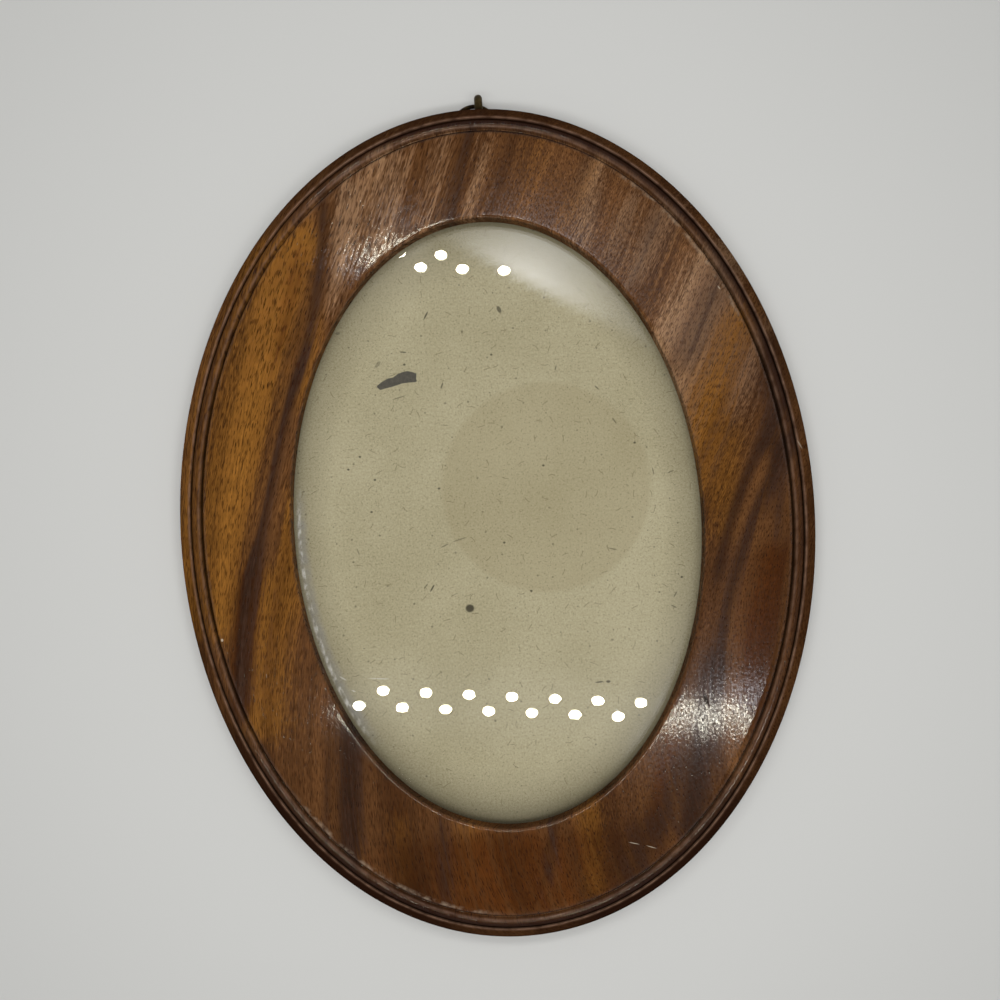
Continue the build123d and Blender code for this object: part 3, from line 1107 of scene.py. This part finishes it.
@dataclass(frozen=True)
class Moulding:
    """The turned walnut ring. Its section sizes are in millimetres, inwards from the widest line."""

    width: float = 28.05
    band: float = 3.35
    outer_quirk: float = 0.75
    outer_quirk_cut: float = 0.7
    bead: float = 2.15
    inner_quirk: float = 0.8
    inner_slope: float = 0.25
    rebate: float = 4.2
    land: float = 12.38
    widest_level: float = 7.5
    edge: float = 0.7
    band_crown: float = 0.2
    arris_drop: float = 1.95
    outer_quirk_depth: float = 0.4
    bead_outer_drop: float = 2.0
    bead_inner_drop: float = 1.2
    bead_rise: float = 0.85
    inner_quirk_depth: float = 1.65
    face_round: float = 1.0
    sight_round: float = 0.45  # sharper than in the solid, for a highlight as thin as the photograph's
    lip: float = 3.98
    softness: float = 0.07  # how far polishing has blunted every edge
    # Dark lines in the quirks, partly grime and partly painted shade, which sits further in at the top and at
    # the bottom: how far in, spread, and how much further in at the top and at the bottom
    grooves: tuple[tuple[float, ...], ...] = ((3.72, 0.32, 0.35, 0.0), (6.55, 0.4, 0.75, 0.55))
    # Rubbed ridges, partly wear and partly painted highlights on the arris and on the bead's crown: how far
    # in, spread and strength
    ridges: tuple[tuple[float, float, float], ...] = ((3.25, 0.16, 0.85), (5.95, 0.28, 0.35))
    # Darkening of the band and of the bead round the ring, partly patina and darker end grain, partly painted
    # shade, darkest on the band at the lower left and lower right: angle in degrees and strength
    band_shade_and_age: tuple[tuple[float, float], ...] = (
        (0, 0.1), (15, 0.4), (30, 0.35), (80, 0.6), (92, 0.75), (108, 0.65), (122, 0.5), (140, 0.0),
        (200, 0.0), (209, 0.8), (222, 1.0), (244, 1.0), (256, 0.75), (270, 0.6), (284, 1.0), (308, 1.0),
        (318, 0.8), (330, 0.2), (345, 0.0), (360, 0.1),
    )
    bead_shade_and_age: tuple[tuple[float, float], ...] = (
        (0, 0.4), (25, 0.65), (90, 0.95), (112, 0.5), (130, 0.3), (150, 0.2), (195, 0.2), (222, 0.6),
        (240, 0.8), (300, 0.8), (330, 0.3), (360, 0.4),
    )
    # Patina of the hidden wood, painted shade on the wall under the sight edge, and the bead's darkening on
    # its inner side, partly painted shade, and how much it gains outwards, where the painted shade of the
    # bead's outer side lies
    hidden_age: float = 0.5
    wall_shade: float = 0.15
    bead_inner_shade_and_age: float = 0.5
    bead_outer_shade_gain: float = 1.25
    # Share of the gloss that is lost
    band_dull: float = 0.87
    bead_dull: float = 0.9  # from its outer edge inwards
    wall_dull: float = 0.6
    band_end: tuple[float, float] = (3.3, 0.15)  # how far in the band's finish ends, and over what length
    bead_overlap: float = 0.2  # by which the bead's darkening, partly painted shade, runs into the inner quirk
    bead_dull_end: tuple[float, float] = (1.1, 0.8)  # the same for the bead's dull side, from its edge
    margin: float = 0.1  # by which a blunted edge counts with the surface beside it
    # Stretches of the inner quirk that hold old polish, by their two ends in pixels
    crusted: tuple[Pixels, ...] = (((317, 819), (473, 908)), ((640, 172), (742, 290)))
    crust_in: float = 0.8  # how far in from the quirk it lies thickest
    crust_spread: float = 0.24
    crust_fade: float = 0.06  # radians
    streak_fade: float = 6.0
    streak_slant: float = 0.25
    pitch: float = 0.02  # of the points that the section is first laid out in
    front_pace: float = 0.8  # length between final points on the face
    back_pace: float = 4.0  # and on the back, which is flat
    turn_pace: float = 2.2  # more points for each radian that the section turns
    section_points: int = 104
    steps: int = 880

    @property
    def bead_out(self) -> float:
        """How far in the bead starts."""
        return self.band + self.outer_quirk

    @property
    def bead_in(self) -> float:
        """How far in the bead ends."""
        return self.bead_out + self.bead

    @property
    def foot(self) -> float:
        """How far in the inner quirk ends."""
        return self.bead_in + self.inner_quirk

    def outline(self, half: float, face: float) -> np.ndarray:
        """Closed outline of the section as half width and level, from the widest line over the face.

        Args:
            half: half width of the widest line.
            face: level of the face.

        Returns:
            One row for each point, in millimetres.
        """
        quarter = 1 - math.sqrt(0.5)

        def at(inward: float, level: float) -> np.ndarray:
            return np.array([half - inward, level])

        arris = at(self.band, face - self.arris_drop)
        bead_start = at(self.bead_out, face - self.bead_outer_drop)
        bead_end = at(self.bead_in, face - self.bead_inner_drop)
        rounded = at(self.foot, face - self.face_round), at(self.foot + self.face_round, face)
        sight = at(self.width - self.sight_round, face), at(self.width, face - self.sight_round)
        cut = self.band + self.outer_quirk * self.outer_quirk_cut
        groove = face - self.inner_quirk_depth
        return np.vstack(
            [
                at(0, self.widest_level - self.edge),
                arc(at(0, self.widest_level), arris, self.band_crown),
                at(cut, face - self.arris_drop - self.outer_quirk_depth),
                arc(bead_start, bead_end, self.bead_rise, steps=24),
                at(self.bead_in + self.inner_slope, groove),
                at(self.foot - self.inner_slope, groove),
                arc(*rounded, quarter * self.face_round),
                arc(*sight, quarter * self.sight_round),
                at(self.width, face - self.lip),
                at(self.width - self.rebate, face - self.lip),
                at(self.width - self.rebate, 0),
                at(self.land, 0),
            ]
        )

    def section(self, half: float, face: float) -> np.ndarray:
        """Section points as turned and polished.

        The outline is laid out in fine equal steps. A blur along it, done on its Fourier terms,
        blunts its edges. Points are then spread by length and by how much the outline turns.

        Args:
            half: half width of the widest line.
            face: level of the face.

        Returns:
            Half width and level of each point, in millimetres.
        """
        corners = self.outline(half, face)
        closed = np.vstack([corners, corners[:1]])
        length = np.concatenate([[0], np.cumsum(np.hypot(*np.diff(closed, axis=0).T))])
        count = int(length[-1] / self.pitch)
        fine = np.linspace(0, length[-1], count, endpoint=False)
        line = np.interp(fine, length, closed[:, 0]) + 1j * np.interp(fine, length, closed[:, 1])
        terms, pitch = np.fft.fft(line), np.fft.fftfreq(count, self.pitch)
        worn = np.fft.ifft(terms * np.exp(-2 * (math.pi * self.softness * pitch) ** 2))
        way = np.roll(worn, -1) - np.roll(worn, 1)
        way /= np.abs(way)
        turning = np.abs(np.angle(np.roll(way, -1) / way))
        front = worn.imag > self.widest_level
        pace = np.where(front, 1 / self.front_pace, 1 / self.back_pace)
        spread = np.cumsum(pace * self.pitch + turning * self.turn_pace)
        even = np.linspace(spread[0], spread[-1], self.section_points, endpoint=False)
        picked, place = np.interp(even, spread, np.arange(count)), np.arange(count)
        return np.stack([np.interp(picked, place, worn.real), np.interp(picked, place, worn.imag)], -1)

    def crust(self, section: np.ndarray, half: float, oval: Oval, level: float) -> np.ndarray:
        """Strength of the old polish left in the inner quirk, on the grid of section by steps.

        It is greatest on the rounded shoulder just inside the quirk and falls off as a bell. Round
        the oval it is full between the angles at which two stretches of the photograph start and
        end, and falls off beyond them in the same way.

        Args:
            section: half width and level of its points.
            half: half width of the widest line.
            oval: family of ovals that the section runs round.
            level: of the face.

        Returns:
            The strengths, one row for each point of the section.
        """
        turn = turns(self.steps)
        foot = half - self.foot
        near = bell(section[:, 0] - foot + self.crust_in, self.crust_spread)
        near = near * (section[:, 1] > self.widest_level)
        stretch = np.zeros(self.steps)
        for ends in self.crusted:
            x, y = VIEW.on_level(ends, level).T
            start, end = np.sort(np.arctan2(y / (foot + oval.offset), x / foot) % (2 * math.pi))
            beyond = np.maximum(np.maximum(start - turn, turn - end), 0)
            stretch = np.maximum(stretch, bell(beyond, self.crust_fade))
        return near[:, None] * stretch

    def ageing(self, section: np.ndarray, half: float, face: float) -> dict[str, np.ndarray]:
        """Grime and painted shade, wear and painted highlights, dullness and patina, on the grid of section
        by steps.

        A dark line, partly grime and partly painted shade, or a rubbed ridge, partly wear and partly a
        painted highlight, is a bell across the section. The lines' shifts grow with the squared sine of the
        angle. Patina and painted shade are the strength that the tables give at the angle, on the band and
        over the bead, where it grows outwards; the wall under the sight edge gets painted shade as well.

        Args:
            section: half width and level of its points.
            half: half width of the widest line.
            face: level of the face.

        Returns:
            A number for each point of the mesh, by the name that the finish reads.
        """
        inward, level = half - section[:, 0], section[:, 1]
        front = level > self.widest_level - self.edge
        turn = turns(self.steps)
        groove = np.zeros((len(section), self.steps))
        # dark lines of grime and painted shade, further in at the top and at the bottom
        for at, spread, top, low in self.grooves:
            shift = np.where(turn < math.pi, top, low) * np.sin(turn) ** 2
            groove += bell(inward[:, None] - at - shift, spread)
        # ridges paler from wear and from painted highlights
        worn = front * sum(much * bell(inward - at, spread) for at, spread, much in self.ridges)
        end, length = self.band_end
        band = np.clip((end - inward) / length, 0, 1) * front
        # the bead's darkening grows outwards: painted shade of its outer side
        outer_side = np.clip((self.bead_in - inward) / self.bead, 0, 1)
        bead = front * (inward < self.bead_in + self.bead_overlap) * (1 - band)
        bead = bead * (self.bead_inner_shade_and_age + self.bead_outer_shade_gain * outer_side)
        in_rebate = inward > self.width - self.rebate - self.margin
        hidden = ~front | (in_rebate & (level < face - self.lip + self.margin))
        wall = (inward > self.width - self.margin) & (level < face - self.sight_round)
        dull = np.maximum(self.band_dull * band, np.maximum(hidden, self.wall_dull * wall))
        end, length = self.bead_dull_end
        dull_bead = np.clip((self.bead_out + end - inward) / length, 0, self.bead_dull)
        dull_bead = dull_bead * (inward < self.bead_in) * front
        round_band, round_bead = (
            np.interp(np.degrees(turn), *zip(*table)) for table in (self.band_shade_and_age, self.bead_shade_and_age)
        )
        # painted shade on the wall under the sight edge, patina on the hidden wood
        unseen = self.hidden_age * hidden + self.wall_shade * wall
        age = band[:, None] * round_band + bead[:, None] * round_bead + unseen[:, None]
        return {
            "groove": (front[:, None] * groove).ravel(),
            "worn": np.repeat(worn, self.steps),
            "dull": np.repeat(np.maximum(dull, dull_bead), self.steps),
            "age": np.minimum(age, 1.0).ravel(),
        }

    def build(self, finish: bpy.types.Material) -> bpy.types.Object:
        """Carry the section round the ovals, and mark each point for the finish to read.

        A tone's strength is one less the product, over its streaks, of one less each mask.

        Args:
            finish: what it is made of.

        Returns:
            The moulding.
        """
        low, high = box_mm("turned_frame")
        half, face = high[0], high[2]
        oval = Oval(high[1] - high[0])
        section = self.section(half, face)
        points = oval.around(section[:, 0], section[:, 1], self.steps)
        marks = {
            "grain": grain_field(points),
            "residue": self.crust(section, half, oval, face).ravel(),
            **self.ageing(section, half, face),
        }
        for tone in Tone:
            clear = np.ones(len(points))
            for streak in FIGURE[tone]:
                clear *= 1 - streak.mask(points, face, self.streak_fade, self.streak_slant)
            marks[tone.value] = 1 - clear
        quads = grid_quads(len(section), self.steps, closed_rows=True)
        ring = mesh_object("walnut_moulding", points, [quads], marks)
        ring.data.materials.append(finish)
        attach(ring, "frame")
        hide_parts("turned_frame")
        return ring


@dataclass(frozen=True)
class Glazing:
    """Glass pane, the card behind it and a dark flake caught between them. Sizes in millimetres."""

    clearance: float = 0.05  # between pane and card, which touch in the solids
    seam: float = 0.35  # ground edge of the pane
    flat_from: float = 0.9  # where the pane's flat caps begin, from its edge inwards
    steps: int = 240
    flake_thickness: float = 0.03
    flake_lift: float = 0.003  # over the card
    flake_outline: Pixels = (
        (377, 387.3), (378, 385.7), (382, 382.4), (388, 378.9), (393.3, 378), (398, 374.4), (403.3, 372.3),
        (408, 371.5), (412.7, 372.4), (416.7, 374), (416.3, 379.3), (417.3, 381.6), (415.3, 382.4),
        (410, 382.9), (402.7, 383.7), (392.7, 387.1), (385.3, 388.9), (380.9, 390.3), (380, 390),
    )

    def pane(self, finish: bpy.types.Material) -> bpy.types.Object:
        """Flat oval pane with a ground edge: rings of half width and level, closed by two flat caps.

        Args:
            finish: what it is made of.

        Returns:
            The pane.
        """
        low, high = box_mm("glass_pane")
        half, bottom, top = high[0], low[2] + self.clearance, high[2] - self.clearance / 2
        oval = Oval(high[1] - high[0])
        seam = self.seam
        inward = np.array([self.flat_from, seam, 0, 0, seam, self.flat_from])
        level = np.array([bottom, bottom, bottom + seam, top - seam, top, top])
        points = oval.around(half - inward, level, self.steps)
        walls = grid_quads(len(inward), self.steps, closed_rows=False)
        ring = np.arange(self.steps)
        caps = np.stack([ring[::-1], ring + self.steps * (len(inward) - 1)])
        pane = mesh_object("drawn_glass_pane", points, [walls, caps])
        pane.data.materials.append(finish)
        pane.visible_shadow = pane.visible_diffuse = False  # so that lamps light the card through it
        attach(pane, "frame")
        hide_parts("glass_pane")
        return pane

    def flake(self, finish: bpy.types.Material) -> bpy.types.Object:
        """Thin flat flake on the card: its outline at two levels, with walls between and a cap on each.

        Args:
            finish: what it is made of.

        Returns:
            The flake.
        """
        level = box_mm("insert_board")[1][2] + self.flake_lift
        outline = VIEW.on_level(self.flake_outline, level)
        count = len(outline)
        levels = np.repeat([level, level + self.flake_thickness], count)
        points = np.column_stack([np.vstack([outline, outline]), levels])
        walls = grid_quads(2, count, closed_rows=False)
        ring = np.arange(count)
        flake = mesh_object("dark_flake", points, [walls, np.stack([ring[::-1], ring + count])], smooth=False)
        flake.data.materials.append(finish)
        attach(flake, "frame")
        return flake


@dataclass(frozen=True)
class LampRow:
    """Row of small lamps overhead, given by where its ends mirror in the glass, in pixels."""

    start: tuple[float, float]
    end: tuple[float, float]
    count: int


@dataclass(frozen=True)
class Veil:
    """Pale haze on the upper right of the glass, brightest along a slanting edge. Lengths in pixels.

    Attributes:
        start, way: where the edge starts and which way it runs.
        rise_from, rise: where the haze starts across the edge, and the length of its rise.
        plateau, tail: how far it reaches above the edge, where a share of it falls off late and the
            rest at once.
        plateau_share: that share.
        bright, broad: strength, middle and spread along the edge of its two parts.
        broad_reach: how far the broad part reaches above the edge.
    """

    start: tuple[float, float] = (463.0, 245.0)
    way: tuple[float, float] = (152.0, 80.0)
    rise_from: float = -7.0
    rise: float = 12.0
    plateau: float = 75.0
    tail: float = 30.0
    plateau_share: float = 0.25
    bright: tuple[float, float, float] = (5.2, 73.0, 62.0)
    broad: tuple[float, float, float] = (0.6, 200.0, 115.0)
    broad_reach: float = 95.0

    def glow(self, x: np.ndarray, y: np.ndarray) -> np.ndarray:
        """Strength of the veil at pixels: a bell along the edge, times a rise across it and a fall.

        Args:
            x, y: the pixels.

        Returns:
            The strengths.
        """
        way = np.array(self.way) / np.hypot(*self.way)
        along = (x - self.start[0]) * way[0] + (y - self.start[1]) * way[1]
        across = (x - self.start[0]) * way[1] - (y - self.start[1]) * way[0]
        rise = np.clip((across - self.rise_from) / self.rise, 0, 1)
        above = np.maximum(across, 0)
        late = self.plateau_share * np.exp(-((above / self.plateau) ** 4))
        fall = late + (1 - self.plateau_share) * np.exp(-above / self.tail)
        glow = np.zeros(x.shape)
        for (much, middle, spread), falling in (
            (self.bright, fall),
            (self.broad, bell(above, self.broad_reach)),
        ):
            glow += much * bell(along - middle, spread) * falling
        return rise * glow


@dataclass(frozen=True)
class Studio:
    """Plain pale floor, soft light, the small lamps that show in the gloss, and the viewpoint."""

    floor: str = "#cbcbc8"
    floor_half: float = 1500.0
    floor_drop: float = 0.05
    backdrop: float = 0.57  # how bright the camera sees the far floor and what lies beyond it
    sky: tuple[float, float] = (0.15, 0.47)  # its strength at the horizon and overhead
    mirrored_sky: tuple[float, float] = (0.32, 0.02)  # and what the gloss shows of it, low and overhead
    lamp_level: float = 240.0
    lamp_half: tuple[float, float] = (2.95, 2.2)
    lamp_corners: int = 16
    lamp_glow: float = 110.0
    lamp_colour: str = "#fffbe6"
    haze_colour: str = "#f6f8ff"
    sheet_level: float = 400.0
    sheet_step: float = 8.0  # pixels between the points of the sheet
    veil: Veil = Veil()
    row_haze: tuple[float, float] = (0.4, 0.16)  # glow round the lower pair of rows and round the upper
    row_spread: tuple[float, float] = (38.0, 40.0)  # how far it reaches beside a pair and past its ends
    near_floor: tuple[float, float] = (0.2, 0.55)  # metres from the middle over which the floor fades
    rows: tuple[LampRow, ...] = (
        LampRow((383, 691), (727, 707), 9),
        LampRow((359, 706), (748, 722), 10),
        LampRow((399.5, 253), (441, 255), 2),
        LampRow((379, 265.5), (504, 270.5), 4),
    )
    blobs: tuple[tuple[float, float, float, float], ...] = (  # more glow on the wood: x, y, reach, strength
        (748, 694, 14, 11.0),
        (732, 697, 11, 4.5),
        (680, 714, 13, 8.0),
        (696, 706, 10, 3.0),
        (712, 719, 9, 4.5),
        (714, 702, 44, 0.9),
        (716, 688, 85, 0.42),
        (655, 750, 22, 1.2),
        (404, 226, 20, 2.4),
        (361, 269, 9, 14.0),
    )

    def build(self, mirror: float) -> None:
        """Make everything but the part.

        Args:
            mirror: level of the glass that the small lamps are placed for.
        """
        VIEW.make_camera()
        bpy.context.scene.view_settings.view_transform = "Standard"
        self.lay_floor()
        self.hang_lamps(mirror)
        self.hang_sheet(mirror)
        self.light()

    @staticmethod
    def staged(thing: bpy.types.Object, name: str) -> Graph:
        """Give a thing a new material and let only mirror images show it.

        Args:
            thing: what hangs overhead.
            name: of the material.

        Returns:
            The material's empty graph.
        """
        material = bpy.data.materials.new(name)
        g = Graph(material)
        thing.data.materials.append(material)
        for ray in ("camera", "diffuse", "volume_scatter", "shadow"):
            setattr(thing, "visible_" + ray, False)
        return g

    def lay_floor(self) -> None:
        """Flat floor just under the back, seen through from below so that the back shows."""
        half = self.floor_half * MM
        flat = ((-half, -half), (half, -half), (half, half), (-half, half))
        corners = [(x, y, -self.floor_drop * MM) for x, y in flat]
        mesh = bpy.data.meshes.new("floor")
        mesh.from_pydata(corners, [], [(0, 1, 2, 3)])
        floor = linked("floor", mesh)
        floor.visible_shadow = False
        material = bpy.data.materials.new("matt_paper")
        g = Graph(material)
        paper = g.add(
            "BsdfPrincipled", {"Base Color": tint(self.floor), "Roughness": 0.95, "Specular IOR Level": 0.1}
        )
        place, seen = g.add("TexCoord").outputs["Object"], g.add("LightPath").outputs["Is Camera Ray"]
        far = g.add("VectorMath", {0: place}, operation="LENGTH").outputs["Value"]
        near, wide = self.near_floor
        far = g.add("MapRange", {0: far, 1: near, 2: wide}, **SMOOTH)
        far = g.add("Math", {0: far, 1: seen}, operation="MULTIPLY")
        paper = g.add("MixShader", {0: far, 1: paper, 2: g.add("Emission", {"Strength": self.backdrop})})
        below = g.add("NewGeometry").outputs["Backfacing"]
        shader = g.add("MixShader", {0: below, 1: paper, 2: g.add("BsdfTransparent")})
        g.add("OutputMaterial", {"Surface": shader})
        mesh.materials.append(material)

    def hang_lamps(self, mirror: float) -> None:
        """Flat bright ellipses at the places whose mirror images the photograph shows.

        Args:
            mirror: level of the glass.
        """
        spots = np.vstack([np.linspace(row.start, row.end, row.count) for row in self.rows])
        middles = VIEW.mirrored(spots, mirror, self.lamp_level)
        turn = turns(self.lamp_corners)
        rim = np.stack([self.lamp_half[0] * np.cos(turn), self.lamp_half[1] * np.sin(turn)], -1)
        flat = (middles[:, None] + rim @ VIEW.axes()).reshape(-1, 2)
        points = np.column_stack([flat, np.full(len(flat), self.lamp_level)])
        faces = np.arange(len(points)).reshape(-1, len(turn))
        lamps = mesh_object("small_lamps", points, [faces])
        g = self.staged(lamps, "lamp_light")
        light = g.add("Emission", {"Color": tint(self.lamp_colour), "Strength": self.lamp_glow})
        g.add("OutputMaterial", {"Surface": light})

    def glow(self, x: np.ndarray, y: np.ndarray) -> np.ndarray:
        """Strength of the haze that the gloss shows at pixels.

        To the veil comes the glow round each pair of lamp rows, which falls off as a bell beside it
        and past its ends, and each patch of glow on the wood, which does so all round.

        Args:
            x, y: the pixels.

        Returns:
            The strengths.
        """
        glow = self.veil.glow(x, y)
        for spot_x, spot_y, reach, much in self.blobs:
            glow += much * bell(x - spot_x, reach) * bell(y - spot_y, reach)
        beside, past_end = self.row_spread
        for low, high, haze in zip(self.rows[::2], self.rows[1::2], self.row_haze):
            middle = (np.array(low.start) + high.start) / 2
            row = np.array(high.end) - high.start
            length = np.hypot(*row)
            along = row / length
            past = (x - middle[0]) * along[0] + (y - middle[1]) * along[1]
            off = (y - middle[1]) * along[0] - (x - middle[0]) * along[1]
            beyond = np.maximum(np.maximum(-past, past - length), 0)
            glow += haze * bell(off, beside) * bell(beyond, past_end)
        return glow

    def hang_sheet(self, mirror: float) -> None:
        """Clear sheet overhead, whose glow is the haze that the gloss shows.

        Args:
            mirror: level of the glass.
        """
        over = np.arange(-60, VIEW.frame_px + 61, self.sheet_step)
        x, y = np.meshgrid(over, over)
        flat = VIEW.mirrored(np.stack([x.ravel(), y.ravel()], -1), mirror, self.sheet_level)
        points = np.column_stack([flat, np.full(x.size, self.sheet_level)])
        quads = grid_quads(*x.shape, closed_rows=False, closed_columns=False)
        sheet = mesh_object("soft_glow", points, [quads], {"glow": self.glow(x, y).ravel()})
        g = self.staged(sheet, "haze_light")
        strength = g.add("Attribute", attribute_name="glow").outputs["Fac"]
        light = g.add("Emission", {"Color": tint(self.haze_colour), "Strength": strength})
        clear = g.add("BsdfTransparent")
        g.add("OutputMaterial", {"Surface": g.add("AddShader", {0: light, 1: clear})})

    def light(self) -> None:
        """Soft world, paler towards the horizon and dim in mirror images, and broad lamps overhead."""
        world = bpy.data.worlds.new("tent")
        bpy.context.scene.world = world
        g = Graph(world)
        way = g.add("SeparateXYZ", {0: g.add("TexCoord").outputs["Generated"]})
        glow, mirrored = (
            g.add("MapRange", {0: way.outputs["Z"], 1: low, 2: high, 3: strengths[0], 4: strengths[1]})
            for low, high, strengths in ((0.0, 1.0, self.sky), (0.68, 0.88, self.mirrored_sky))
        )
        path = g.add("LightPath")
        bounced, through = path.outputs["Is Glossy Ray"], path.outputs["Is Transmission Ray"]
        image = g.add("Math", {0: bounced, 1: through}, operation="MAXIMUM")
        strength = g.add("Mix", {"Factor": image, "A": glow, "B": mirrored})
        seen = path.outputs["Is Camera Ray"]
        strength = g.add("Mix", {"Factor": seen, "A": strength, "B": self.backdrop})
        back = g.add("Background", {"Color": (1.0, 1.0, 1.0, 1.0), "Strength": strength})
        g.add("OutputWorld", {"Surface": back})
        for name, middle, size, power, turn in (
            ("strip_low", (0.0, -95.0, 320.0), (300.0, 60.0), 0.55, 0.0),
            ("strip_high", (0.0, 120.0, 320.0), (300.0, 60.0), 0.45, 0.0),
            ("from_below", (0.0, 0.0, -300.0), (400.0, 400.0), 1.5, math.pi),
        ):
            data = bpy.data.lights.new(name, "AREA")
            data.shape = "RECTANGLE"
            data.size, data.size_y = size[0] * MM, size[1] * MM
            data.energy = power
            lamp = linked(name, data)
            lamp.location = [c * MM for c in middle]
            lamp.rotation_euler = (turn, 0.0, 0.0)
            lamp.visible_glossy = lamp.visible_transmission = False


def main() -> None:
    """Build every sub-assembly in order and report its pieces."""
    logging.basicConfig(level=logging.INFO, format="%(name)s: %(message)s")
    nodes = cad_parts
    carriers = ("turned_frame", "glass_pane", "insert_board")
    face, glass_top, card_top = (box_mm(name)[1][2] for name in carriers)
    Studio().build(glass_top)
    glazing = Glazing()
    for piece in (
        Moulding().build(Walnut().make(face)),
        glazing.pane(WindowGlass().make()),
        glazing.flake(DriedPaint().make()),
    ):
        log.info("%s: %d points", piece.name, len(piece.data.vertices))
    finishes = {
        "insert_board": FleckCard().make(card_top),
        "back_panel": PanelWood().make(),
        "screw_eye": AgedMetal("tarnished_brass_wire", bright="#6d5c3c", tarnish="#3b3222").make(),
        "hanging_ring": AgedMetal("darkened_brass_wire", bright="#5c4c34", tarnish="#2c241a").make(),
    }
    steel = AgedMetal("rusting_brad_steel", bright="#7d7871", tarnish="#4a3526").make()
    for name, node in nodes.items():
        if name.startswith("glazing_brad"):
            finishes[name] = steel
        if name in finishes:
            node.data.materials[0] = finishes[name]
            log.info("%s: %s", name, finishes[name].name)


if __name__ == "__main__":
    main()
